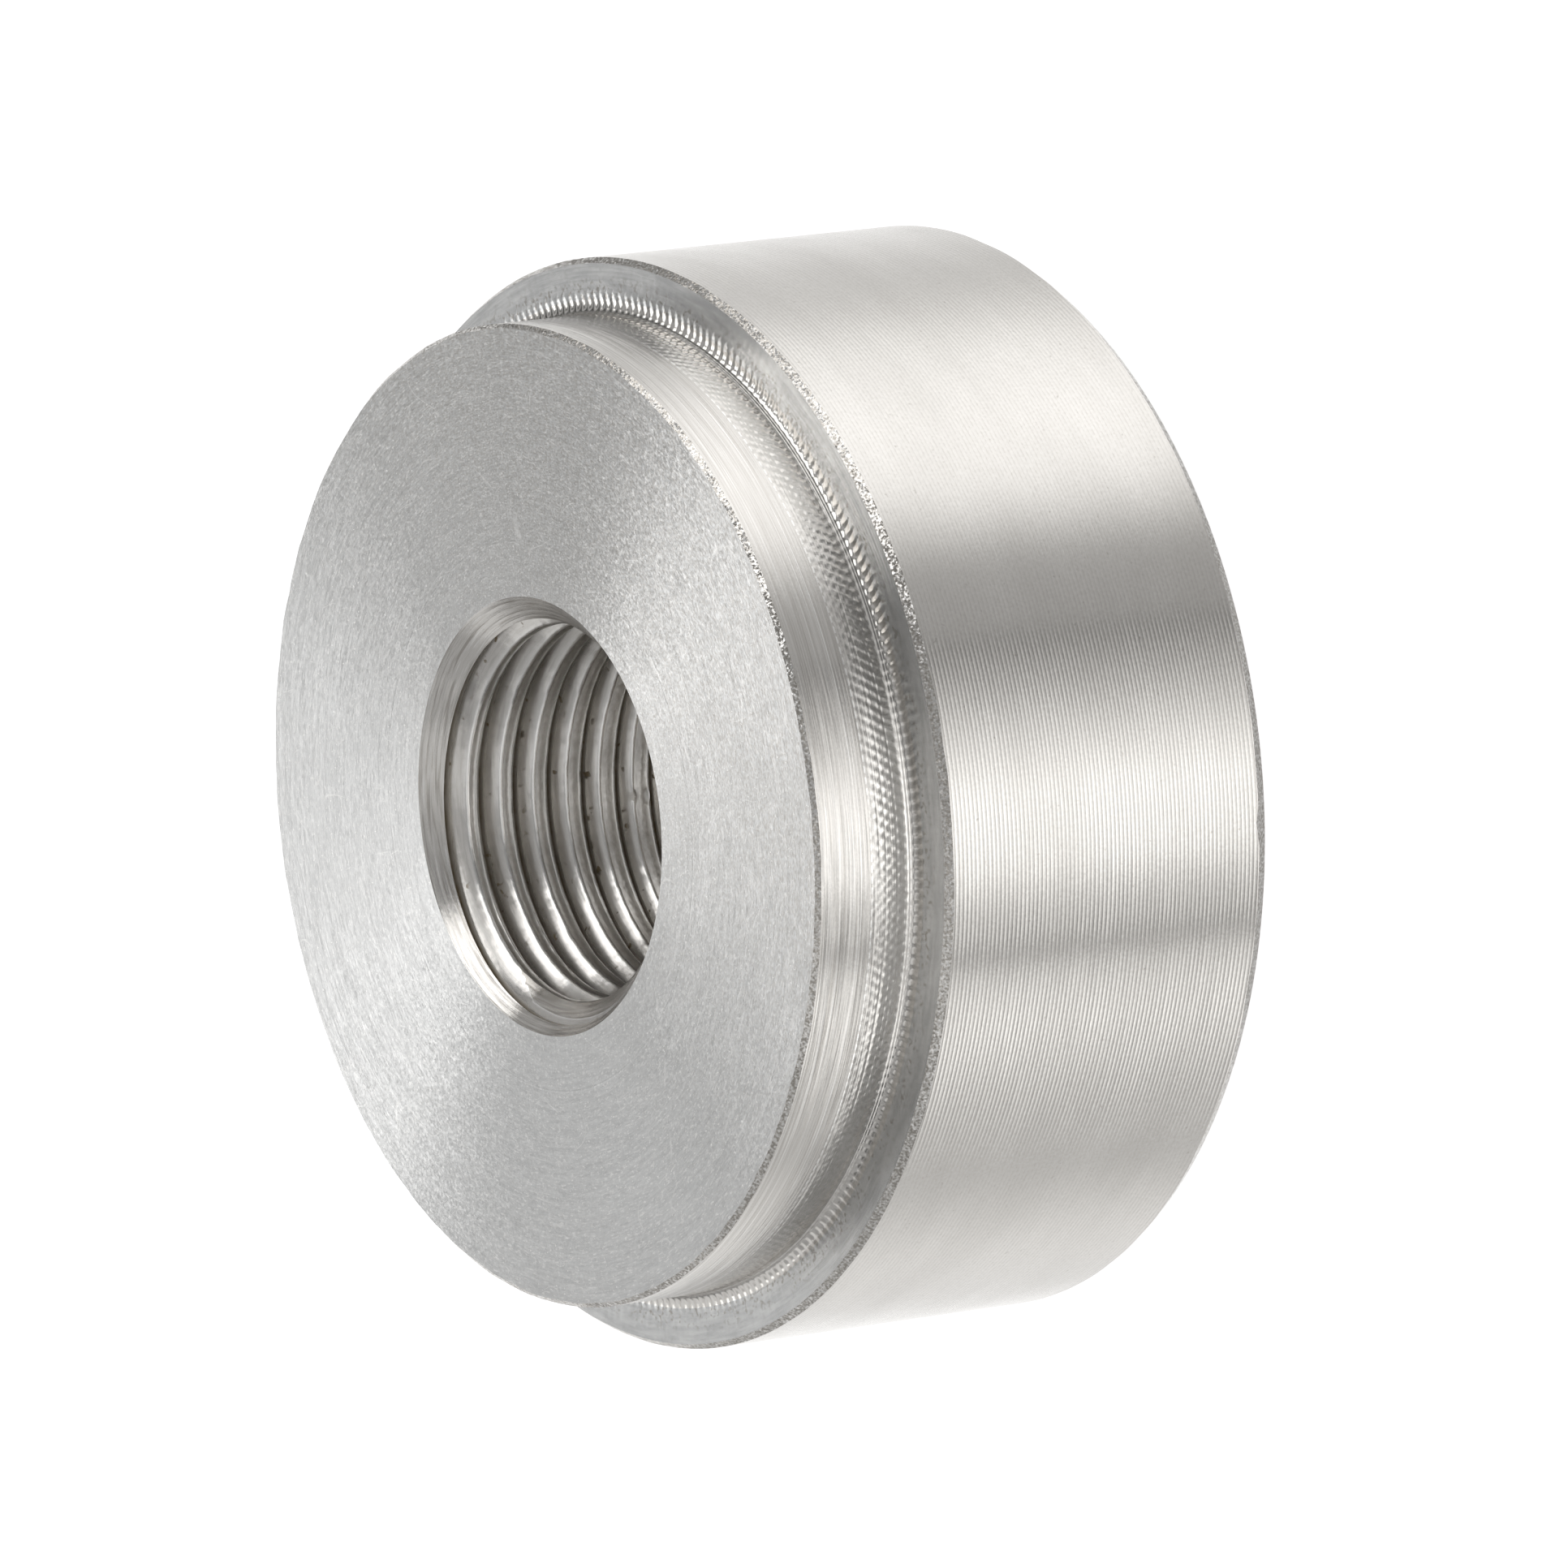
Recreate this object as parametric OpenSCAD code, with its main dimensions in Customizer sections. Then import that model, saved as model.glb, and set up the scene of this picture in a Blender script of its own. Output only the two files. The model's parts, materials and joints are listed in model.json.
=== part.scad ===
// Stepped weld bung: one turned piece with a locating pilot and a bore for a fine pipe thread.
// It stands on its large face. The axis is Z and the pilot points up.

/* [Body] */
// Diameter of the large step, whose shoulder rests on the wall that it is welded to
body_d = 25.4; // [24.4:0.1:40]
// Height of the large step, from the base face to the shoulder
body_h = 8.96; // [3:0.01:25]

/* [Pilot] */
// Diameter of the small step, which locates in the hole in the wall
pilot_d = 22.8; // [14:0.1:23.8]
// Height of the small step above the shoulder
pilot_h = 2.66; // [1:0.01:12]
// Radius left by the tool's nose where the pilot meets the shoulder
root_fillet = 0.4; // [0.05:0.05:0.5]

/* [Bore] */
// Diameter of the bore, which is the thread's minor diameter
bore_d = 8.73; // [4:0.01:11]
// Depth of the countersink at each mouth of the bore
countersink_h = 0.735; // [0.1:0.005:1.2]
// Full angle of both countersinks
countersink_angle = 90; // [60:1:100]

/* [Edges] */
// Height of the chamfer at the pilot's rim
pilot_edge_h = 0.11; // [0.05:0.01:0.4]
// Height of the chamfer at the shoulder's rim
shoulder_edge_h = 0.18; // [0.05:0.01:0.4]
// Height of the chamfer at the base's rim
base_edge_h = 0.29; // [0.05:0.01:0.8]
// Angle of the shoulder's and the base's chamfer from the axis
body_edge_angle = 35; // [20:1:55]
// Angle of the pilot's chamfer from the axis
pilot_edge_angle = 45; // [20:1:55]

/* [Hidden] */
$fn = 180;
steel = [0.72, 0.71, 0.69];
body_r = body_d / 2;
pilot_r = pilot_d / 2;
bore_r = bore_d / 2;
total_h = body_h + pilot_h;
// How far a cut runs past the face that it opens
past = 1;

// Half section of a turned step from the axis to radius r, with its lower and upper rim chamfered
module step_section(r, z0, z1, lower_h, lower_angle, upper_h, upper_angle) {
    polygon([
        [0, z0],
        [r - lower_h * tan(lower_angle), z0],
        [r, z0 + lower_h],
        [r, z1 - upper_h],
        [r - upper_h * tan(upper_angle), z1],
        [0, z1]
    ]);
}

// Half section of the fillet in the corner between the pilot and the shoulder
module root_section() {
    translate([pilot_r, body_h])
        difference() {
            square(root_fillet);
            translate([root_fillet, root_fillet]) circle(r = root_fillet);
        }
}

// Half section of a countersink that opens downwards from z = 0
module countersink_section() {
    flare = tan(countersink_angle / 2);
    polygon([
        [0, -past],
        [bore_r + (countersink_h + past) * flare, -past],
        [bore_r, countersink_h],
        [0, countersink_h]
    ]);
}

// Half section of the through bore with both of its countersinks
module bore_section() {
    translate([0, -past]) square([bore_r, total_h + 2 * past]);
    countersink_section();
    translate([0, total_h]) mirror([0, 1]) countersink_section();
}

// Half section of the whole piece
module bung_section() {
    difference() {
        union() {
            step_section(body_r, 0, body_h, base_edge_h, body_edge_angle,
                         shoulder_edge_h, body_edge_angle);
            step_section(pilot_r, 0, total_h, 0, pilot_edge_angle,
                         pilot_edge_h, pilot_edge_angle);
            root_section();
        }
        bore_section();
    }
}

module bung() {
    color(steel) rotate_extrude() bung_section();
}

bung();
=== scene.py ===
import json
import math

import bpy
from mathutils import Matrix, Quaternion, Vector, noise


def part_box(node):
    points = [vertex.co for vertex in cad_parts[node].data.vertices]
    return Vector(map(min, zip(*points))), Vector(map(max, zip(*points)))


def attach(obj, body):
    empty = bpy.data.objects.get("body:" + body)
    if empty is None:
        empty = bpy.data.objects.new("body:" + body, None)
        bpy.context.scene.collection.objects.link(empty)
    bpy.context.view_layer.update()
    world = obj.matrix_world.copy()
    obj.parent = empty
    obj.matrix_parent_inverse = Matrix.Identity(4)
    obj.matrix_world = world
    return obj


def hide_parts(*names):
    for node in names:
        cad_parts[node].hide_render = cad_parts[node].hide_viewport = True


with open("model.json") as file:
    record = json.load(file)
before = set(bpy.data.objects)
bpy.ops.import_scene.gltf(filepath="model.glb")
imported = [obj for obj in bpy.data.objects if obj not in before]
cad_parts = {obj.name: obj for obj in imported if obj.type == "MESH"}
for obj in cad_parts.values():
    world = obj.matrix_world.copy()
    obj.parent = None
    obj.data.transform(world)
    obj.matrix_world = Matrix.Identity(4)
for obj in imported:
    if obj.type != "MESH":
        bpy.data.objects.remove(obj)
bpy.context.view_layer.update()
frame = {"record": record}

# Sizes, in millimetres unless a name says otherwise. The main ones come from the frame.
MM = 0.001
mounts = {mount["name"]: mount for mount in frame["record"]["mounts"]}
far_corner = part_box("bung")[1]
body_r = far_corner.x / MM
total_h = far_corner.z / MM
shoulder_z = mounts["shoulder"]["pos_m"][2] / MM
pilot_r = mounts["pilot"]["dims"]["r_mm"]
bore_r = mounts["thread"]["dims"]["r_mm"]

# A tear on one crest: the crest's number from the top, place round the axis, half width in radians
torn_turn = 5
torn_angle = math.radians(87.5)
torn_width = 0.03
torn_height = 0.07

# Edges of the turned piece
edge_slope = math.tan(math.radians(35))
base_edge_h = 0.29
shoulder_edge_h = 0.18
pilot_edge_h = 0.11
root_fillet = 0.25
countersink_h = 0.735
mouth_r = bore_r + countersink_h

# Thread: 27 turns per inch, 60 degrees, tapering 1 in 16 on the diameter from the pilot's end down
pitch = 25.4 / 27
thread_height = pitch * math.sqrt(3) / 2
taper = 1 / 32
sharp_root_r = 4.98
root_flat = 0.07
# The tap has pushed up a small ridge along both edges of the crest
ridge_in = 0.055
ridge_out = 0.035
ridge_height = 0.018
crest_hollow = 0.03
# The flanks bulge: share of their height and of their depth at which the bulge's knee lies
knee_height = 0.68
knee_depth = 0.44
# Depth below the pilot's face at which a crest passes the side away from the camera
crest_depth = 0.982
far_side = math.radians(90)

# Feed marks of the tool, per turn of the piece
body_feed = 0.1133
pilot_feed = 0.1

# Chatter marks that the tool left on the pilot's wall near its root, and on the root itself
chatter_count = 285
chatter_rows = 6
chatter_feed = 0.15
chatter_drift = -2.37
chatter_height = 0.0075
tooth_height = 0.015
# How far the marks stray round the axis, as a phase, and how many rows they take to fade out
mark_stray = 0.3
fade_rows = 2.5
# How far the teeth reach onto the shoulder, and how far they lean over that reach, as a phase
tooth_reach = 0.24
tooth_lean = -2.4
# How far the teeth lean up the fillet, as a phase to a degree
fillet_lean = 0.02
# On the shoulder: distance from the fillet's foot and share of the teeth's height
SHOULDER_STEPS = ((tooth_reach, 0.1), (0.17, 0.8), (0.08, 1.0))
# Up the fillet: degrees from the shoulder, shares of the teeth's and of the bead's height
FILLET_STEPS = (
    (0, 1.0, 0),
    (24, 0.9, 0),
    (42, 0.5, 0),
    (54, 0.3, -0.1),
    (59, 0.25, 0.4),
    (63, 0.3, 1),
    (67, 0.2, 0.4),
    (73, 0.2, -0.1),
    (90, 0.1, 0),
)
# Up one row of marks: share of the row, how far the wall stands out, share of the marks' height
ROW_STEPS = ((0.3, -0.001, 1.0), (0.7, -0.001, 0.9), (1.0, 0.002, 0.2))
# Plain stretch between the shoulder's outer part and the teeth, and the spacing of the rings that
# end the marks on the wall
plain_gap = 0.4
last_gap = 0.03
# The bead that the last cut left on the fillet, and the angle round the axis where it is sharpest
bead_height = 0.008
sharp_side = math.radians(-20)

# Columns of the mesh round the axis, and the columns that one chatter mark takes
columns = chatter_count
fine = 6
# The dent in the base's edge: place, half width in radians, depth as a share of the edge's height
dent_angle = math.radians(-100)
dent_width = 0.02
dent_depth = 0.24
# A faint ring on the pilot's face, and the painted highlights round the pilot's wall: a line of dashes and a
# thin line
faced_ring_r = 6.38
dash_z = 10.13
dash_width = 0.04
line_z = 10.49
line_width = 0.025
TAU = 2 * math.pi

ZONES = ("body", "face", "pilot", "edge", "cone", "thread", "chatter", "shoulder")
BODY, FACE, PILOT, EDGE, CONE, THREAD, CHATTER, SHOULDER = range(len(ZONES))


def uneven(angle, marks, seed):
    """Noise round the axis with about so many waves to a turn, from about -1 to 1."""
    reach = marks / TAU
    return noise.noise(Vector((math.cos(angle) * reach, math.sin(angle) * reach, seed)))


def bell(angle, middle, width):
    """1 at one angle, falling smoothly to 0 about two widths away."""
    return math.exp(-((math.remainder(angle - middle, TAU) / width) ** 2))


def tooth(phase):
    """One chatter mark, steeper on one side than on the other."""
    return math.sin(phase) + 0.3 * math.sin(2 * phase)


class Skin:
    """The points and faces of one closed mesh, built ring by ring along the outline."""

    def __init__(self):
        self.points = []
        self.depths = []
        self.faces = []
        self.zones = []

    def point(self, radius, angle, z, depth=0.0):
        self.points.append((radius * math.cos(angle), radius * math.sin(angle), z))
        self.depths.append(depth)
        return len(self.points) - 1

    def ring(self, radius, z, count):
        """A ring of points. Its radius and height are numbers or functions of the angle."""
        made = []
        for i in range(count):
            angle = TAU * i / count
            r = radius(angle) if callable(radius) else radius
            h = z(angle) if callable(z) else z
            made.append(self.point(r, angle, h))
        return made

    def face(self, corners, zone):
        self.faces.append(corners)
        self.zones.append(zone)

    def band(self, first, second, zone):
        """The faces between two rings, the second one further along the outline."""
        n, m = len(first), len(second)
        if n == m:
            for i in range(n):
                j = (i + 1) % n
                self.face((first[i], first[j], second[j], second[i]), zone)
            return
        i = j = 0
        while i < n or j < m:
            a, b = first[i % n], second[j % m]
            if j == m or (i < n and (i + 1) / n <= (j + 1) / m + 1e-9):
                self.face((a, first[(i + 1) % n], b), zone)
                i += 1
            else:
                self.face((a, second[(j + 1) % m], b), zone)
                j += 1

    def strip(self, left, right, zone_of):
        """The faces between two columns of points, which both run along the outline."""
        i = j = 0
        while i < len(left) - 1 or j < len(right) - 1:
            if j == len(right) - 1:
                step_left = True
            elif i == len(left) - 1:
                step_left = False
            else:
                down_left = math.dist(self.points[left[i + 1]], self.points[right[j]])
                down_right = math.dist(self.points[left[i]], self.points[right[j + 1]])
                step_left = down_left < down_right
            if step_left:
                corners = (left[i], right[j], left[i + 1])
                i += 1
            else:
                corners = (left[i], right[j], right[j + 1])
                j += 1
            self.face(corners, zone_of(corners))


def outside(skin):
    """The outline from the base's mouth up to the pilot's face. Returns its two end rings."""
    def base_height(angle):
        dent = dent_depth * bell(angle, dent_angle, dent_width)
        wave = 0.3 * uneven(angle, 5, 3.7) + 0.1 * uneven(angle, 90, 4.7)
        return base_edge_h * (1 + wave + dent)

    def base_foot(angle):
        return body_r - base_edge_h * edge_slope * (1 + 0.15 * uneven(angle, 7, 5.7))

    def shoulder_height(angle):
        return shoulder_z - shoulder_edge_h * (1 + 0.12 * uneven(angle, 120, 6.7))

    def pilot_height(angle):
        return total_h - pilot_edge_h * (1 + 0.3 * uneven(angle, 60, 7.7) + 0.2 * uneven(angle, 190, 8.7))

    def pilot_rim(angle):
        return pilot_r - pilot_edge_h * (1 + 0.25 * uneven(angle, 80, 9.7) + 0.2 * uneven(angle, 210, 1.7))

    mouth = skin.ring(mouth_r, 0, columns)
    foot = skin.ring(base_foot, 0, columns)
    skin.band(mouth, foot, FACE)
    wall = skin.ring(body_r, base_height, columns)
    skin.band(foot, wall, EDGE)
    wall_top = skin.ring(body_r, shoulder_height, columns)
    skin.band(wall, wall_top, BODY)
    rim = skin.ring(body_r - shoulder_edge_h * edge_slope, shoulder_z, columns)
    skin.band(wall_top, rim, EDGE)
    pilot_wall = pilot_root(skin, rim)
    pilot_top = skin.ring(pilot_r, pilot_height, columns)
    skin.band(pilot_wall, pilot_top, PILOT)
    pilot_face = skin.ring(pilot_rim, total_h, columns)
    skin.band(pilot_top, pilot_face, EDGE)
    return mouth, pilot_face


def pilot_root(skin, rim):
    """The shoulder's ring, the fillet at the pilot's root and the chatter marks above it."""
    count = columns * fine
    foot_r = pilot_r + root_fillet
    inner = skin.ring(foot_r + plain_gap, shoulder_z, columns)
    skin.band(rim, inner, SHOULDER)

    def marks(phase, height):
        """How far the surface stands out by the angle. The marks are deepest on the sharp side."""
        def offset(angle):
            swell = 0.45 + 0.55 * math.cos((angle - sharp_side) / 2) ** 2
            swell *= 1 + 0.3 * uneven(angle, 70, 2.7)
            slip = mark_stray * uneven(angle, 60, 0.3 * phase + 5.2)
            return height * swell * tooth(chatter_count * angle + phase + slip)
        return offset

    last = inner
    for out, share in SHOULDER_STEPS:
        bump = marks(tooth_lean * out / tooth_reach, tooth_height * share)
        this = skin.ring(foot_r + out, lambda a: shoulder_z + bump(a), count)
        skin.band(last, this, SHOULDER)
        last = this
    for degrees, share, bead in FILLET_STEPS:
        turn = math.radians(degrees)
        sine, cosine = math.sin(turn), math.cos(turn)
        bump = marks(fillet_lean * degrees, tooth_height * share)
        radius = pilot_r + root_fillet * (1 - sine) + bead * bead_height * sine
        height = shoulder_z + root_fillet * (1 - cosine) + bead * bead_height * cosine
        this = skin.ring(lambda a: radius + bump(a) * sine, lambda a: height + bump(a) * cosine, count)
        skin.band(last, this, CHATTER)
        last = this
    low = shoulder_z + root_fillet
    for row in range(chatter_rows):
        fade = min(1.0, (chatter_rows - row) / fade_rows)
        for share_up, rise, share in ROW_STEPS:
            bump = marks(chatter_drift * (row + 1), chatter_height * fade * share)
            edge = rise * fade
            height = low + (row + share_up) * chatter_feed
            this = skin.ring(lambda a: pilot_r + edge + bump(a), height, count)
            skin.band(last, this, CHATTER)
            last = this
    for around in (count, columns):
        low += last_gap
        this = skin.ring(pilot_r, low + chatter_rows * chatter_feed, around)
        skin.band(last, this, PILOT)
        last = this
    return last


def thread_corners(angle):
    """Height, radius and share of the depth of the thread's corners at an angle, from the top."""
    first = total_h - crest_depth + pitch * (angle - far_side) / TAU
    turn = -math.ceil((total_h + pitch - first) / pitch)
    corners = []
    while first - turn * pitch > -2 * pitch:
        middle = first - turn * pitch
        wound = angle + 1.7 * turn
        sharp_crest = sharp_root_r - thread_height - (total_h - middle) * taper
        rise = max(bore_r - sharp_crest, 0.12 * thread_height)
        crest = sharp_crest + rise
        for side in (1, -1):
            steep = 2 * thread_height / pitch + side * taper
            wobble = 0.007 * uneven(wound, 40, side + 5.3) + 0.006 * uneven(wound, 230, side + 7.3)
            burr = 0.006 * uneven(wound, 150, side + 2.3)
            if turn == torn_turn:
                burr += torn_height * bell(angle, torn_angle, torn_width)
            half = rise / steep + wobble
            half_root = pitch / 2 - root_flat / 2
            root = sharp_crest + steep * half_root
            outer = crest + (ridge_out - max(wobble, 0)) * steep
            knee = half + ridge_out + (half_root - half - ridge_out) * knee_height
            # Distance from the crest's middle, radius and share of the depth
            flank = [
                (half * 0.4, crest + crest_hollow * 0.8, -1.0),
                (half - ridge_in, crest - burr, -0.6),
                (half, crest + ridge_height - burr, 0.0),
                (half + ridge_out, outer, 0.12),
                (knee, outer + (root - outer) * knee_depth, 0.5),
                (half_root, root, 1.0),
            ]
            if side > 0:
                corners += [(middle + off, r, d) for off, r, d in reversed(flank)]
                corners.append((middle, crest + crest_hollow, -1.0))
            else:
                corners += [(middle - off, r, d) for off, r, d in flank]
        turn += 1
    return corners


def cone_radius(z):
    """The radius of the countersinks, and that of a sharp bore where they don't reach."""
    return bore_r + max(z - (total_h - countersink_h), countersink_h - z)


def bore_outline(angle):
    """The bore's outline at one angle, from its upper mouth to its lower one."""
    corners = thread_corners(angle)
    outline = []
    for a, b in zip(corners, corners[1:]):
        over_a, over_b = a[1] - cone_radius(a[0]), b[1] - cone_radius(b[0])
        if over_a > 0 and 0 < a[0] < total_h:
            outline.append(a)
        if (over_a > 0) != (over_b > 0):
            share = over_a / (over_a - over_b)
            z = a[0] + (b[0] - a[0]) * share
            if 0 < z < total_h:
                outline.append((z, a[1] + (b[1] - a[1]) * share, 0.0))
    return outline


def bore(skin, top_ring, base_ring):
    """The threaded bore with its countersinks, joined to the rings at its two mouths."""
    made = []
    for i in range(columns):
        angle = TAU * i / columns
        column = [skin.point(r, angle, z, depth) for z, r, depth in bore_outline(angle)]
        made.append([top_ring[i]] + column + [base_ring[i]])

    def zone_of(corners):
        for corner in corners:
            x, y, z = skin.points[corner]
            if math.hypot(x, y) > cone_radius(z) + 0.0005:
                return THREAD
        return CONE

    for i in range(columns):
        skin.strip(made[i], made[(i + 1) % columns], zone_of)


def bung_mesh():
    """The whole turned piece as one closed mesh, in metres."""
    skin = Skin()
    base_ring, pilot_face = outside(skin)
    top_ring = skin.ring(mouth_r, total_h, columns)
    skin.band(pilot_face, top_ring, FACE)
    bore(skin, top_ring, base_ring)
    mesh = bpy.data.meshes.new("bung_turned")
    mesh.from_pydata([Vector(p) * MM for p in skin.points], [], skin.faces)
    mesh.polygons.foreach_set("material_index", skin.zones)
    depth = mesh.attributes.new("groove_depth", "FLOAT", "POINT")
    depth.data.foreach_set("value", skin.depths)
    mesh.shade_smooth()
    mesh.set_sharp_from_angle(angle=math.radians(40))
    keep_zone_edges(mesh)
    return mesh


def keep_zone_edges(mesh):
    """Keeps the edge between two zones crisp, apart from the chatter marks' own ends."""
    zones = {}
    for polygon in mesh.polygons:
        for key in polygon.edge_keys:
            zones.setdefault(key, set()).add(polygon.material_index)
    soft = ({CHATTER, PILOT}, {CHATTER, SHOULDER})
    for edge in mesh.edges:
        found = zones[tuple(sorted(edge.vertices))]
        if len(found) > 1 and found not in soft:
            edge.use_edge_sharp = True


class Graph:
    """The nodes of a material or the world. Every input is a socket, a number or a vector."""

    def __init__(self, owner):
        self.owner = owner
        owner.use_nodes = True
        self.tree = owner.node_tree
        self.tree.nodes.clear()

    def node(self, kind, inputs=None, **settings):
        made = self.tree.nodes.new(kind)
        for key, value in settings.items():
            setattr(made, key, value)
        for key, value in (inputs or {}).items():
            self.feed(made.inputs[key], value)
        return made

    def feed(self, socket, value):
        if isinstance(value, bpy.types.NodeSocket):
            self.tree.links.new(value, socket)
        else:
            socket.default_value = value

    def math(self, operation, *values):
        made = self.node("ShaderNodeMath", operation=operation)
        for i, value in enumerate(values):
            self.feed(made.inputs[i], value)
        return made.outputs[0]

    def vector(self, operation, *values):
        made = self.node("ShaderNodeVectorMath", operation=operation)
        for i, value in enumerate(values):
            self.feed(made.inputs[i], value)
        return made.outputs[0]

    def scaled(self, vector, factor):
        made = self.node("ShaderNodeVectorMath", operation="SCALE")
        self.feed(made.inputs[0], vector)
        self.feed(made.inputs["Scale"], factor)
        return made.outputs[0]

    def combine(self, x, y, z):
        return self.node("ShaderNodeCombineXYZ", {"X": x, "Y": y, "Z": z}).outputs[0]

    def noise(self, vector, scale, detail=2.0, rough=0.5):
        made = self.node(
            "ShaderNodeTexNoise",
            {"Vector": vector, "Scale": scale, "Detail": detail, "Roughness": rough},
        )
        return made.outputs["Fac"]

    def ramp(self, value, low, high, out_low=0.0, out_high=1.0):
        made = self.node(
            "ShaderNodeMapRange",
            {"Value": value, "From Min": low, "From Max": high, "To Min": out_low, "To Max": out_high},
            clamp=True,
        )
        return made.outputs[0]

    def mix(self, factor, a, b):
        made = self.node("ShaderNodeMix", data_type="RGBA")
        self.feed(made.inputs[0], factor)
        self.feed(made.inputs[6], a)
        self.feed(made.inputs[7], b)
        return made.outputs[2]


class Turned(Graph):
    """A turned steel finish: the place of a point round the axis, in millimetres."""

    def __init__(self, name):
        super().__init__(bpy.data.materials.new(name))
        place = self.node("ShaderNodeTexCoord").outputs["Object"]
        self.place = self.scaled(place, 1 / MM)
        split = self.node("ShaderNodeSeparateXYZ", {"Vector": self.place})
        self.x, self.y, self.z = split.outputs
        square = self.math("ADD", self.math("MULTIPLY", self.x, self.x),
                           self.math("MULTIPLY", self.y, self.y))
        self.r = self.math("SQRT", square)
        self.cosine = self.math("DIVIDE", self.x, self.r)
        self.sine = self.math("DIVIDE", self.y, self.r)
        self.angle = self.math("ARCTAN2", self.y, self.x)
        self.normal = self.node("ShaderNodeNewGeometry").outputs["Normal"]
        self.out = self.combine(self.cosine, self.sine, 0.0)
        self.up = self.combine(0.0, 0.0, 1.0)

    def swept(self, along, around, across):
        """A noise vector that is stretched round the axis, with no seam."""
        return self.combine(
            self.math("MULTIPLY", self.cosine, around),
            self.math("MULTIPLY", self.sine, around),
            self.math("MULTIPLY", along, across),
        )

    def wave(self, phase, height):
        return self.math("MULTIPLY", self.math("SINE", phase), height)

    def feed_slope(self, along, feed, steep):
        """The slope of the shallow spiral left by the tool, a sawtooth along its travel."""
        turns = self.math("DIVIDE", along, feed)
        turns = self.math("ADD", turns, self.math("DIVIDE", self.angle, TAU))
        within = self.math("FRACT", self.math("ADD", turns, 1000.0))
        return self.math("MULTIPLY", self.math("SUBTRACT", within, 0.5), 2 * steep)

    def streaks(self, along, around, across, steep, detail=2.0):
        """Slopes of fine marks that run round the axis."""
        fac = self.noise(self.swept(along, around, across), 1.0, detail, 0.6)
        return self.math("MULTIPLY", self.math("SUBTRACT", fac, 0.5), 2 * steep)

    def total(self, *slopes):
        value = slopes[0]
        for slope in slopes[1:]:
            value = self.math("ADD", value, slope)
        return value

    def groove(self, along, place, width, steep):
        """The slope across one thin line round the axis."""
        off = self.math("DIVIDE", self.math("SUBTRACT", along, place), width)
        inside = self.math("LESS_THAN", self.math("ABSOLUTE", off), 1.0)
        return self.math("MULTIPLY", self.math("MULTIPLY", off, inside), steep)

    def thin_line(self, along, place, width):
        """1 within one thin line round the axis and 0 elsewhere."""
        off = self.math("ABSOLUTE", self.math("SUBTRACT", along, place))
        return self.math("LESS_THAN", off, width / 2)

    def tilt(self, *leans):
        """The normal leaned along directions, each by its slope."""
        normal = self.normal
        for direction, slope in leans:
            normal = self.vector("ADD", normal, self.scaled(direction, slope))
        return normal

    def grit(self, scale, steep):
        """Small pits and specks that lean the normal any way."""
        made = self.node("ShaderNodeTexNoise", {"Vector": self.place, "Scale": scale, "Detail": 2.0})
        lean = self.vector("SUBTRACT", made.outputs["Color"], (0.5, 0.5, 0.5))
        return self.scaled(lean, 2 * steep)

    def finish(self, colour, roughness, normal, streak, metal=1.0):
        tangent = self.node("ShaderNodeTangent", direction_type="RADIAL", axis="Z").outputs[0]
        shader = self.node(
            "ShaderNodeBsdfPrincipled",
            {
                "Base Color": colour,
                "Metallic": metal,
                "Roughness": roughness,
                "Anisotropic": streak,
                "Anisotropic Rotation": 0.25,
                "Normal": self.vector("NORMALIZE", normal),
                "Tangent": tangent,
            },
        )
        self.node("ShaderNodeOutputMaterial", {"Surface": shader.outputs[0]})
        return self.owner


# Colours of the metal, of what lies in its grooves together with painted shade, and of painted glints, with
# their transparency last
STEEL = (0.705, 0.685, 0.655, 1.0)
DULL_STEEL = (0.60, 0.58, 0.55, 1.0)
FACED_STEEL = (0.69, 0.692, 0.685, 1.0)
GREY_STEEL = (0.57, 0.573, 0.57, 1.0)
DARK_STEEL = (0.42, 0.395, 0.36, 1.0)
PAINTED_GLINT_STEEL = (0.92, 0.91, 0.89, 1.0)
RESIDUE_AND_PAINTED_SHADE = (0.22, 0.175, 0.11, 1.0)
TORN_STEEL = (0.56, 0.54, 0.51, 1.0)


def body_finish(name):
    """Strong even feed marks along the body, with painted shade in the valleys between them."""
    g = Turned(name)
    # The lines wander a little along the axis
    wander = g.noise(g.swept(g.z, 0.8, 0.5), 1.0, 1.0)
    along = g.math("ADD", g.z, g.math("MULTIPLY", wander, 0.08))
    slope = g.total(
        g.feed_slope(along, body_feed, 0.125),
        g.streaks(g.z, 7, 32, 0.07),
    )
    normal = g.vector("ADD", g.tilt((g.up, slope)), g.grit(22, 0.03))
    cloud = g.noise(g.swept(g.z, 3, 0.7), 1.0, 3.0)
    pock = g.ramp(g.noise(g.place, 9.0, 2.0), 0.70, 0.78, 0.0, 0.6)
    colour = g.mix(g.ramp(cloud, 0.35, 0.7, 0.0, 0.5), STEEL, DULL_STEEL)
    grain = g.ramp(g.noise(g.place, 13.0, 2.0), 0.35, 0.65)
    # Painted shade in the valleys between the feed marks, patchy with the grain
    crest = g.math("ABSOLUTE", g.feed_slope(along, body_feed, 1.0))
    lines = g.math("MULTIPLY", g.ramp(crest, 0.55, 0.95), g.ramp(grain, 0.0, 1.0, 0.08, 0.28))
    colour = g.mix(lines, colour, DARK_STEEL)
    colour = g.mix(g.math("MULTIPLY", grain, 0.12), colour, DARK_STEEL)
    return g.finish(g.mix(pock, colour, DARK_STEEL), g.ramp(cloud, 0.3, 0.7, 0.18, 0.22), normal, 0.9)


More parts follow.
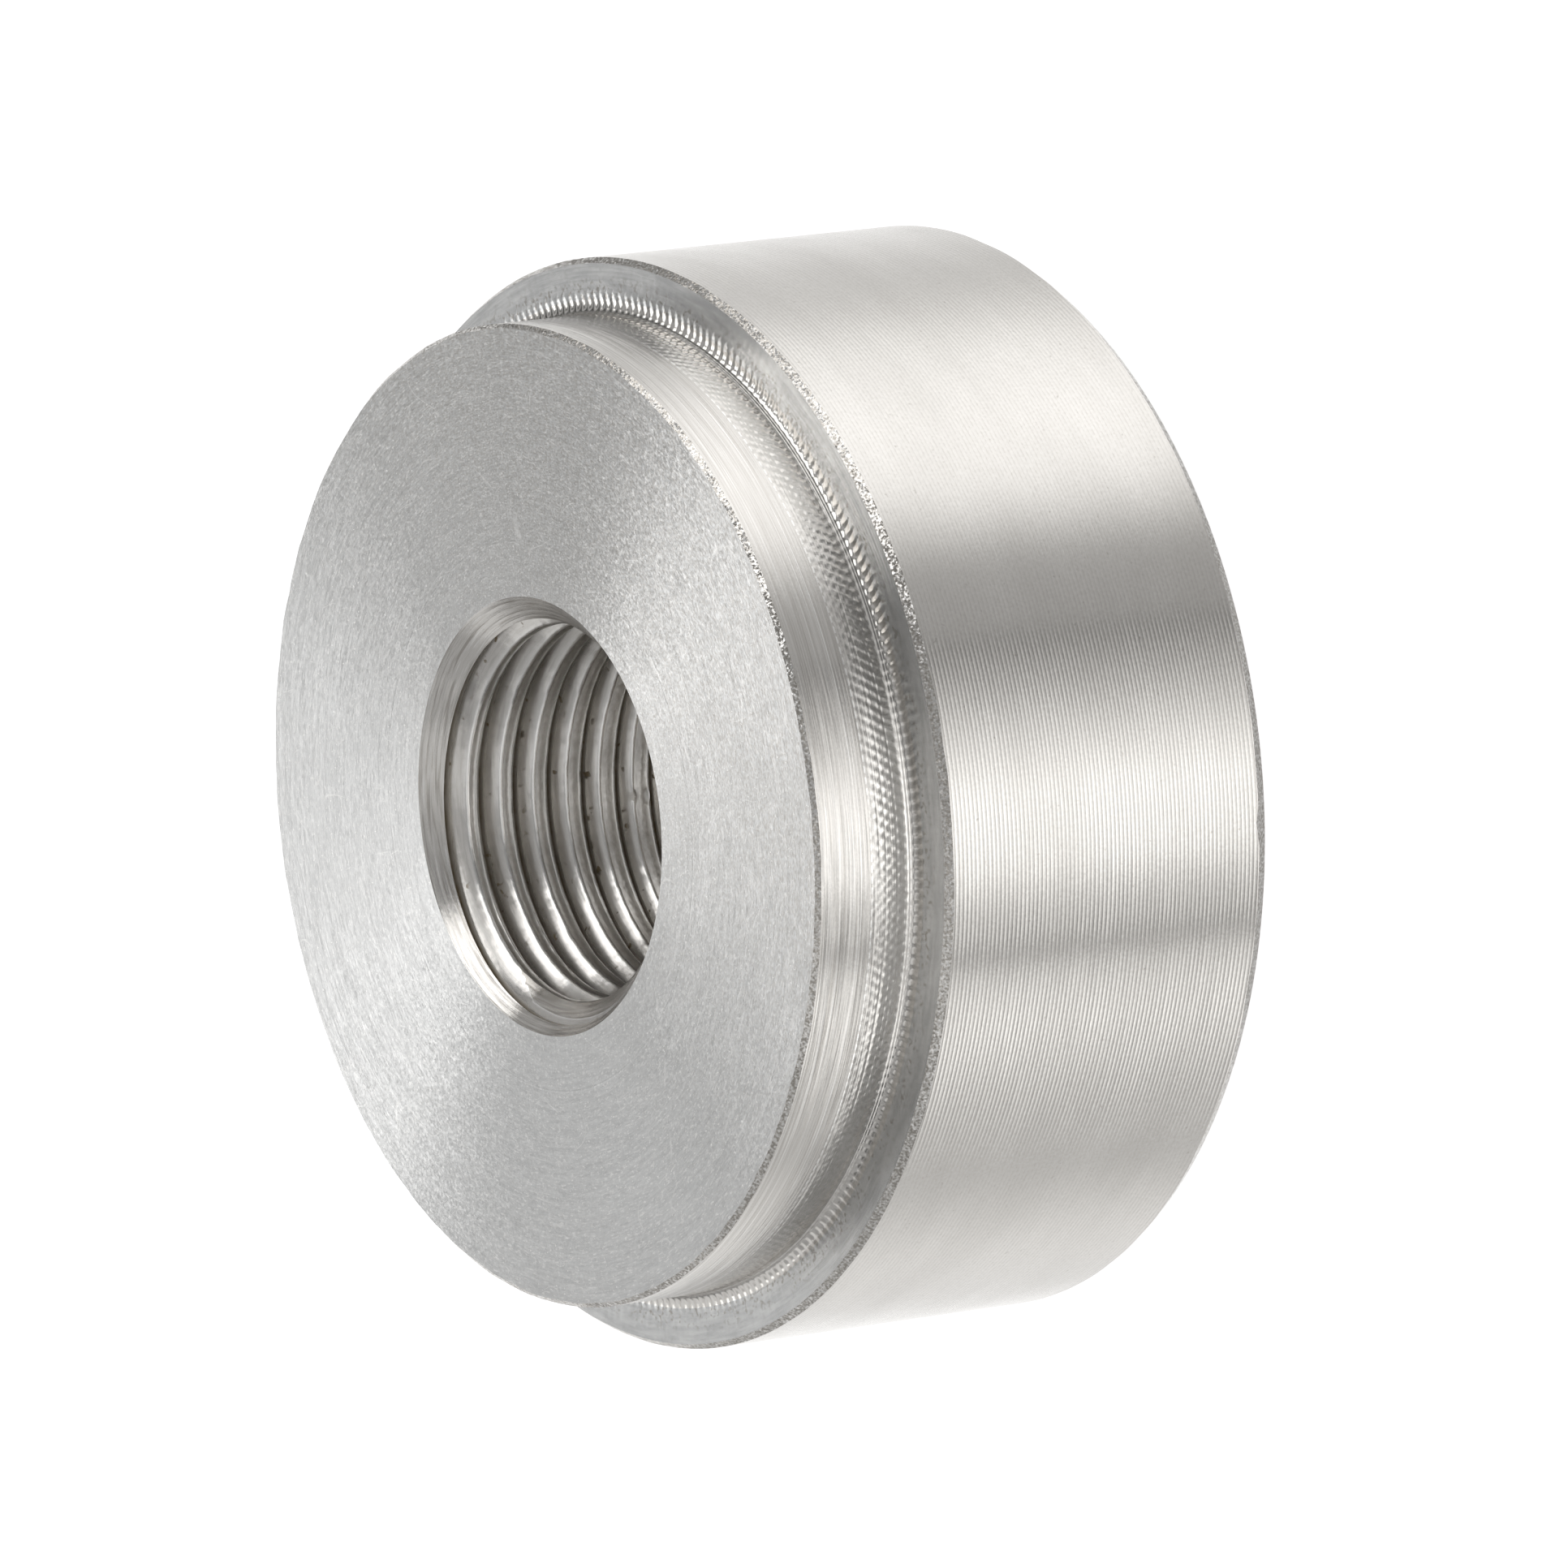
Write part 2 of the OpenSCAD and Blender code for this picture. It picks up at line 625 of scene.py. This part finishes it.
def face_finish(name):
    """Facing marks in short dashes round the axis, finer near the bore, with painted glints on some dashes,
    on small nicks and on hair scratches.
    """
    g = Turned(name)
    coarse = g.ramp(g.r, faced_ring_r - 0.1, faced_ring_r + 0.05, 0.6, 1.0)
    slope = g.total(
        g.math("MULTIPLY", g.streaks(g.r, 24, 24, 0.20, 3.0), coarse),
        g.streaks(g.r, 5, 8, 0.08),
        g.groove(g.r, faced_ring_r, 0.03, 0.14),
    )
    normal = g.vector("ADD", g.tilt((g.out, slope)), g.grit(13, 0.08))
    # Painted glints: bright dashes and small nicks
    dashes = g.ramp(g.noise(g.swept(g.r, 60, 22), 1.0, 1.0), 0.57, 0.70)
    nicks = g.ramp(g.noise(g.place, 13.0, 1.0), 0.68, 0.74)
    bright = g.math("MAXIMUM", g.math("MULTIPLY", dashes, 0.6), nicks)
    fine_lines = g.ramp(g.noise(g.swept(g.r, 6, 11), 1.0, 2.0), 0.35, 0.65, 0.0, 0.5)
    # Hair scratches painted bright as glints: thin level lines of a wide noise, worn away in places
    for size, width, share in ((0.45, 0.0045, 0.7), (0.9, 0.008, 0.6)):
        hair = g.math("ABSOLUTE", g.math("SUBTRACT", g.noise(g.place, size, 0.0), 0.5))
        worn = g.ramp(g.noise(g.place, 1.9 * size, 1.0), 0.50, 0.60, 0.0, share)
        bright = g.math("MAXIMUM", bright, g.math("MULTIPLY", g.ramp(hair, 0.0, width, 1.0, 0.0), worn))
    # The grain is stronger towards +X and -Y
    coarse_side = g.ramp(g.math("SUBTRACT", g.x, g.y), -5.0, 9.0, 0.08, 0.62)
    grain = g.math("MULTIPLY", g.ramp(g.noise(g.swept(g.r, 110, 24), 1.0, 2.0), 0.35, 0.65), coarse_side)
    colour = g.mix(grain, g.mix(fine_lines, FACED_STEEL, GREY_STEEL), DARK_STEEL)
    colour = g.mix(bright, colour, PAINTED_GLINT_STEEL)
    cloud = g.noise(g.swept(g.r, 4, 0.6), 1.0, 3.0)
    rough = g.math("ADD", g.ramp(cloud, 0.3, 0.7, 0.30, 0.36), g.math("MULTIPLY", bright, 0.1))
    return g.finish(colour, rough, normal, 0.88)


def pilot_slopes(g):
    return g.total(
        g.feed_slope(g.z, pilot_feed, 0.035),
        g.streaks(g.z, 4, 34, 0.19, 3.0),
        g.streaks(g.z, 14, 12, 0.05),
    )


def pilot_colour(g):
    """Lines round the axis, some painted bright as glints and some dull."""
    lines = g.noise(g.swept(g.z, 2.5, 24), 1.0, 3.0, 0.7)
    colour = g.mix(g.ramp(lines, 0.3, 0.6, 0.4, 1.0), DARK_STEEL, STEEL)
    # The brightest lines are painted glints
    return g.mix(g.ramp(lines, 0.58, 0.75, 0.0, 0.6), colour, PAINTED_GLINT_STEEL)


def pilot_finish(name):
    """Fine uneven feed marks, with a line and a row of dashes where the chatter starts painted on as
    highlights.
    """
    g = Turned(name)
    worn = g.noise(g.swept(g.z, 6, 0.1), 1.0, 2.0)
    # The row of dashes and the line are painted highlights, in bright steel
    dash = g.math("MULTIPLY", g.thin_line(g.z, dash_z, dash_width), g.ramp(worn, 0.3, 0.5))
    place = g.math("FRACT", g.math("MULTIPLY", g.angle, chatter_count / TAU))
    dash = g.math("MULTIPLY", dash, g.ramp(place, 0.6, 0.7, 0.8, 0.0))
    line = g.math("MULTIPLY", g.thin_line(g.z, line_z, line_width), g.ramp(worn, 0.4, 0.6, 0.2, 0.7))
    normal = g.vector("ADD", g.tilt((g.up, pilot_slopes(g))), g.grit(20, 0.04))
    bright = g.math("MAXIMUM", dash, line)
    return g.finish(g.mix(bright, pilot_colour(g), PAINTED_GLINT_STEEL), 0.22, normal, 0.85)


def chatter_finish(name):
    """The pilot's lines, broken up into small uneven scales."""
    g = Turned(name)
    scales = g.node("ShaderNodeTexNoise", {"Vector": g.swept(g.z, 95, 9), "Scale": 1.0, "Detail": 1.0})
    around = g.combine(g.math("MULTIPLY", g.sine, -1.0), g.cosine, 0.0)
    lean = g.node("ShaderNodeSeparateColor", {"Color": scales.outputs["Color"]}).outputs
    lean_up = g.math("MULTIPLY", g.math("SUBTRACT", lean[0], 0.5), 0.06)
    lean_round = g.math("MULTIPLY", g.math("SUBTRACT", lean[1], 0.5), 0.08)
    slope = g.total(pilot_slopes(g), lean_up)
    normal = g.vector("ADD", g.tilt((g.up, slope), (around, lean_round)), g.grit(20, 0.03))
    colour = g.mix(g.ramp(scales.outputs["Fac"], 0.3, 0.6, 0.7, 1.0), DARK_STEEL, STEEL)
    return g.finish(colour, 0.2, normal, 0.5)


def shoulder_finish(name):
    """Facing marks with faint rays from the chatter."""
    g = Turned(name)
    around = g.combine(g.math("MULTIPLY", g.sine, -1.0), g.cosine, 0.0)
    worn = g.noise(g.swept(0.0, 5, 1), 1.0, 2.0)
    fade = g.math("MULTIPLY", g.ramp(g.r, pilot_r + 0.65, pilot_r + 1.05, 1.0, 0.2),
                  g.ramp(worn, 0.35, 0.65))
    rays = g.math("MULTIPLY", g.wave(g.math("MULTIPLY", g.angle, float(chatter_count)), 0.035), fade)
    slope = g.total(g.streaks(g.r, 8, 20, 0.10), g.feed_slope(g.r, pilot_feed, 0.03))
    normal = g.vector("ADD", g.tilt((g.out, slope), (around, rays)), g.grit(9, 0.018))
    cloud = g.noise(g.swept(g.r, 12, 6), 1.0, 3.0)
    pits = g.math("MULTIPLY", g.ramp(g.noise(g.place, 9.0, 2.0), 0.56, 0.66),
                  g.ramp(g.r, pilot_r + 0.6, pilot_r + 0.9, 0.8, 0.1))
    colour = g.mix(g.ramp(cloud, 0.35, 0.65), FACED_STEEL, GREY_STEEL)
    return g.finish(g.mix(pits, colour, DARK_STEEL), 0.27, normal, 0.8)


def edge_finish(name):
    """A broken edge, torn into small dark grains and into bright grains that are painted glints. The
    shoulder's edge leans upwards.
    """
    g = Turned(name)
    above_base = g.math("GREATER_THAN", g.z, shoulder_z / 2)
    on_shoulder = g.math("MULTIPLY", above_base, g.ramp(g.r, pilot_r + 0.6, pilot_r + 0.8))
    lean = g.math("ADD", g.streaks(g.z, 30, 14, 0.10), g.math("MULTIPLY", on_shoulder, 0.2))
    normal = g.vector("ADD", g.tilt((g.up, lean)), g.grit(16, 0.42))
    grain = g.noise(g.place, 16.0, 2.0)
    colour = g.mix(g.ramp(grain, 0.40, 0.54), DARK_STEEL, STEEL)
    # The bright grains are painted glints
    return g.finish(g.mix(g.ramp(grain, 0.56, 0.66, 0.0, 0.9), colour, PAINTED_GLINT_STEEL), 0.3, normal, 0.2)


def cone_finish(name):
    """Coarse turned lines down the countersink."""
    g = Turned(name)
    slope = g.total(g.feed_slope(g.z, 0.12, 0.12), g.streaks(g.z, 3, 26, 0.10))
    normal = g.vector("ADD", g.tilt((g.up, slope)), g.grit(16, 0.04))
    lines = g.noise(g.swept(g.z, 3, 20), 1.0, 2.0, 0.7)
    colour = g.mix(g.ramp(lines, 0.34, 0.5, 0.2, 1.0), DARK_STEEL, STEEL)
    # The brightest lines are painted glints
    colour = g.mix(g.ramp(lines, 0.6, 0.7, 0.0, 0.7), colour, PAINTED_GLINT_STEEL)
    # Darker from partway down the countersink and over all of the base's one: residue mixed with painted
    # shade
    low = g.ramp(g.z, total_h - 0.45, total_h - 0.7)
    residue_and_shade = g.math("MULTIPLY", low, g.ramp(g.noise(g.swept(g.z, 4, 1), 1.0, 3.0, 0.6), 0.3, 0.6, 0.3, 1.0))
    return g.finish(g.mix(residue_and_shade, colour, DARK_STEEL), 0.27, normal, 0.8)


def thread_finish(name):
    """Streaked flanks, dull torn crests between ridges with painted highlights, and brown residue mixed with
    painted shade at the roots.
    """
    g = Turned(name)
    depth = g.node("ShaderNodeAttribute", attribute_name="groove_depth").outputs["Fac"]
    patch = g.noise(g.swept(g.z, 9, 1.5), 1.0, 3.0, 0.6)
    # Brown residue and painted shade, deepest at the roots
    residue_and_shade = g.math("MULTIPLY", g.ramp(depth, 0.72, 0.95), g.ramp(patch, 0.3, 0.6, 0.6, 1.0))
    crest = g.ramp(depth, -0.5, -0.9)
    torn = g.math("MULTIPLY", crest, g.ramp(g.noise(g.swept(g.z, 26, 9), 1.0, 3.0, 0.6), 0.35, 0.6, 0.3, 1.0))
    slope = g.total(g.streaks(g.z, 3, 20, 0.13), g.math("MULTIPLY", g.streaks(g.z, 40, 12, 0.3), crest))
    normal = g.vector("ADD", g.tilt((g.up, slope)), g.grit(10, 0.04))
    lines = g.noise(g.swept(g.z, 5, 16), 1.0, 3.0, 0.6)
    colour = g.mix(g.ramp(lines, 0.4, 0.7), STEEL, DULL_STEEL)
    colour = g.mix(torn, colour, TORN_STEEL)
    # Painted highlights along the crest's ridges
    ridge = g.ramp(g.math("ABSOLUTE", depth), 0.04, 0.25, 0.8, 0.0)
    colour = g.mix(ridge, colour, PAINTED_GLINT_STEEL)
    rough = g.math("ADD", g.ramp(residue_and_shade, 0.0, 1.0, 0.26, 0.5), g.math("MULTIPLY", torn, 0.1))
    pits = g.math("MULTIPLY", g.ramp(g.noise(g.place, 3.2, 2.0), 0.66, 0.69), g.ramp(depth, 0.3, 0.5))
    # Residue and painted shade in the roots, and residue in the pits
    residue_shade_and_pits = g.math("MAXIMUM", residue_and_shade, pits)
    metal = g.ramp(residue_shade_and_pits, 0.0, 1.0, 1.0, 0.15)
    return g.finish(g.mix(residue_shade_and_pits, colour, RESIDUE_AND_PAINTED_SHADE), rough, normal, 0.6, metal)


def make_bung():
    mesh = bung_mesh()
    piece = bpy.data.objects.new("bung_turned", mesh)
    bpy.context.scene.collection.objects.link(piece)
    finishes = (body_finish, face_finish, pilot_finish, edge_finish,
                cone_finish, thread_finish, chatter_finish, shoulder_finish)
    for zone, finish in zip(ZONES, finishes):
        mesh.materials.append(finish(f"{zone}_steel"))
    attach(piece, "root")
    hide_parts("bung")


# The camera stands where the photo's circles put it. The picture is 1932 pixels square.
picture_px = 1932
focal_px = 20725
view_elevation = math.radians(33.53)
view_roll = math.radians(-97.13)
# Where the middle of the pilot's face lies in the picture, and its distance along the view, which
# is given in diameters of the body
aim_px = (663.8, 1006.4)
aim_diameters = 15.264
aim_distance = aim_diameters * 2 * body_r


def make_camera():
    data = bpy.data.cameras.new("camera")
    data.sensor_width = 36
    data.lens = focal_px / picture_px * data.sensor_width
    data.clip_start, data.clip_end = 0.01, 20
    camera = bpy.data.objects.new("camera", data)
    bpy.context.scene.collection.objects.link(camera)
    forward = Vector((0, math.cos(view_elevation), -math.sin(view_elevation)))
    level = Vector((1, 0, 0))
    upright = level.cross(forward)
    right = level * math.cos(view_roll) + upright * math.sin(view_roll)
    up = upright * math.cos(view_roll) - level * math.sin(view_roll)
    across = (aim_px[0] - picture_px / 2) / focal_px * aim_distance
    down = (aim_px[1] - picture_px / 2) / focal_px * aim_distance
    target = Vector((0, 0, total_h))
    place = target - right * across + up * down - forward * aim_distance
    camera.matrix_world = Matrix.Translation(place * MM) @ Matrix(
        [[right[i], up[i], -forward[i]] for i in range(3)]
    ).to_4x4()
    bpy.context.scene.camera = camera


# Half the floor's side in metres, the colour of the floor and the brightness that the camera sees
floor_half = 3.0
floor_grey = 0.35
floor_glow = 0.86
# The floor lies a hair under the base, so that the two flat faces don't share one plane
floor_gap = 0.02


def make_floor():
    """A white floor. Its own light is only seen by the camera, and reflections pass through it."""
    size, depth = floor_half, floor_gap * MM
    mesh = bpy.data.meshes.new("floor")
    mesh.from_pydata([(-size, -size, -depth), (size, -size, -depth),
                      (size, size, -depth), (-size, size, -depth)], [], [(0, 1, 2, 3)])
    floor = bpy.data.objects.new("floor", mesh)
    bpy.context.scene.collection.objects.link(floor)
    g = Graph(bpy.data.materials.new("floor_white"))
    path = g.node("ShaderNodeLightPath").outputs
    matt = g.node("ShaderNodeBsdfDiffuse", {"Color": (floor_grey,) * 3 + (1.0,)}).outputs[0]
    seen = g.math("MULTIPLY", path["Is Camera Ray"], floor_glow)
    glow = g.node("ShaderNodeEmission", {"Color": (1, 1, 1, 1), "Strength": seen}).outputs[0]
    lit = g.node("ShaderNodeAddShader")
    g.feed(lit.inputs[0], matt)
    g.feed(lit.inputs[1], glow)
    clear = g.node("ShaderNodeBsdfTransparent").outputs[0]
    through = g.math("MAXIMUM", path["Is Glossy Ray"], path["Is Shadow Ray"])
    mixed = g.node("ShaderNodeMixShader", {"Fac": through})
    g.feed(mixed.inputs[1], lit.outputs[0])
    g.feed(mixed.inputs[2], clear)
    g.node("ShaderNodeOutputMaterial", {"Surface": mixed.outputs[0]})
    mesh.materials.append(g.owner)


# The light is that of a pale tent. A ring of it stands round the piece under the level of the
# floor, where the side of the piece mirrors it. Each step is an azimuth (0 on the camera's side,
# 90 on +X) and the brightness of the lower and the upper half of the ring.
RING = (
    (-180, 1.25, 1.3),
    (-164, 1.25, 1.3),
    (-150, 0.95, 1.0),
    (-125, 1.0, 1.02),
    (-108, 0.78, 0.84),
    (-92, 0.54, 0.66),
    (-80, 0.40, 0.98),
    (-62, 0.45, 1.55),
    (-56, 0.52, 1.72),
    (-50, 0.52, 1.6),
    (-43, 0.40, 1.25),
    (-40, 0.16, 0.55),
    (-36.5, 0.42, 1.25),
    (-32, 0.42, 1.25),
    (-22, 0.85, 1.9),
    (-8, 1.05, 2.0),
    (4, 0.70, 1.4),
    (14, 0.34, 0.95),
    (26.6, 0.12, 0.46),
    (27.4, 0.40, 0.50),
    (42, 0.46, 0.58),
    (50, 0.80, 0.95),
    (60, 1.3, 1.4),
    (76, 1.46, 1.5),
    (98, 1.28, 1.32),
    (116, 0.80, 0.86),
    (130, 0.76, 0.82),
    (150, 0.96, 1.0),
    (168, 1.1, 1.15),
    (180, 1.25, 1.3),
)
ring_split = math.sin(math.radians(-33))
# The ring's top edge is higher on the camera's side
ring_top = math.sin(math.radians(6))
ring_lean = 0.2
ring_foot = math.sin(math.radians(-54))
# Half the width over which the parts of the tent blend
ring_soft = 0.03
# Brightness below the ring, and of the rest of the tent
under_light = 0.55
tent_light = 0.06
# Soft boxes above: azimuth and elevation of the middle, width, height, brightness, turn
BOXES = {
    "back_middle": (180, 30, 110, 30, 0.37),
    "left_back_upper": (-130, 30, 86, 50, 0.36),
    "right_upper": (92, 43, 54, 26, 2.1, -18),
    "front_upper": (-28, 34, 76, 28, 0.6),
    "left_upper": (-74, 62, 36, 44, 0.32),
    "back_top": (180, 70, 40, 18, 0.30),
    "camera_side": (0, 52, 80, 34, 0.18),
    "above": (0, 86, 44, 40, 0.38),
}
# Rectangles in the ceiling: place, turn in degrees, length, width, brightness. Lengths are shares
# of the ceiling's height. The first one's long edge ends the bright sweep on the pilot's face.
CEILING = {
    "sweep": (0.15, 0.64, -51, 0.96, 0.5, 2.2),
    "fade": (-0.2, 0.6, 0, 0.5, 0.6, 0.12),
}
ceiling_height = 0.6
lamp_distance = 0.6


def make_lamp(name, place, facing, width, height, level, roll=0.0):
    """An evenly bright rectangle that faces along a direction and is hidden from the camera."""
    data = bpy.data.lights.new(name, "AREA")
    data.shape = "RECTANGLE"
    data.size, data.size_y = width, height
    data.energy = level * math.pi * width * height
    lamp = bpy.data.objects.new(name, data)
    bpy.context.scene.collection.objects.link(lamp)
    lamp.location = place
    lamp.rotation_mode = "QUATERNION"
    lamp.rotation_quaternion = facing.to_track_quat("-Z", "Y") @ Quaternion((0, 0, 1), roll)
    lamp.visible_camera = False


def make_box(name, azimuth, elevation, width, height, level, turn=0):
    a, e = math.radians(azimuth), math.radians(elevation)
    out = Vector((math.sin(a) * math.cos(e), -math.cos(a) * math.cos(e), math.sin(e)))
    width, height = (2 * lamp_distance * math.tan(math.radians(v) / 2) for v in (width, height))
    make_lamp(f"box_{name}", out * lamp_distance, -out, width, height, level, math.radians(turn))


def make_ceiling(name, x, y, turn, length, width, level):
    place = Vector((x, y, 1)) * ceiling_height
    down = Vector((0, 0, -1))
    make_lamp(f"ceiling_{name}", place, down, length * ceiling_height, width * ceiling_height,
              level, math.radians(turn))


def ring_half(g, turn, column):
    """The brightness of one half of the ring, which runs smoothly from step to step."""
    peak = max(step[column] for step in RING)
    blend = g.node("ShaderNodeValToRGB", {"Fac": turn})
    steps = blend.color_ramp.elements
    steps[0].position, steps[1].position = 0.0, 1.0
    for step in RING[1:-1]:
        steps.new((step[0] + 180) / 360)
    for element, step in zip(steps, RING):
        element.color = [step[column] / peak] * 3 + [1.0]
    return g.math("MULTIPLY", blend.outputs["Color"], peak)


def make_lights():
    world = bpy.data.worlds.new("studio")
    bpy.context.scene.world = world
    g = Graph(world)
    direction = g.node("ShaderNodeTexCoord").outputs["Generated"]
    x, y, z = g.node("ShaderNodeSeparateXYZ", {"Vector": direction}).outputs
    azimuth = g.math("ARCTAN2", x, g.math("MULTIPLY", y, -1.0))
    turn = g.math("ADD", g.math("DIVIDE", azimuth, TAU), 0.5)
    lower, upper = ring_half(g, turn, 1), ring_half(g, turn, 2)
    ring = g.mix(g.ramp(z, ring_split - ring_soft, ring_split + ring_soft), lower, upper)
    over = g.math("ADD", z, g.math("MULTIPLY", y, ring_lean))
    top = g.ramp(over, ring_top - 2 * ring_soft, ring_top + 2 * ring_soft)
    ring = g.mix(top, ring, (tent_light,) * 3 + (1.0,))
    foot = g.ramp(z, ring_foot - ring_soft, ring_foot + ring_soft)
    ring = g.mix(foot, (under_light,) * 3 + (1.0,), ring)
    seen = g.node("ShaderNodeLightPath").outputs["Is Camera Ray"]
    white = g.mix(seen, ring, (1.0, 1.0, 1.0, 1.0))
    background = g.node("ShaderNodeBackground", {"Color": white})
    g.node("ShaderNodeOutputWorld", {"Surface": background.outputs[0]})
    for name, box in BOXES.items():
        make_box(name, *box)
    for name, lamp in CEILING.items():
        make_ceiling(name, *lamp)


make_camera()
make_bung()
make_floor()
make_lights()

scene = bpy.context.scene
scene.view_settings.view_transform = "Standard"
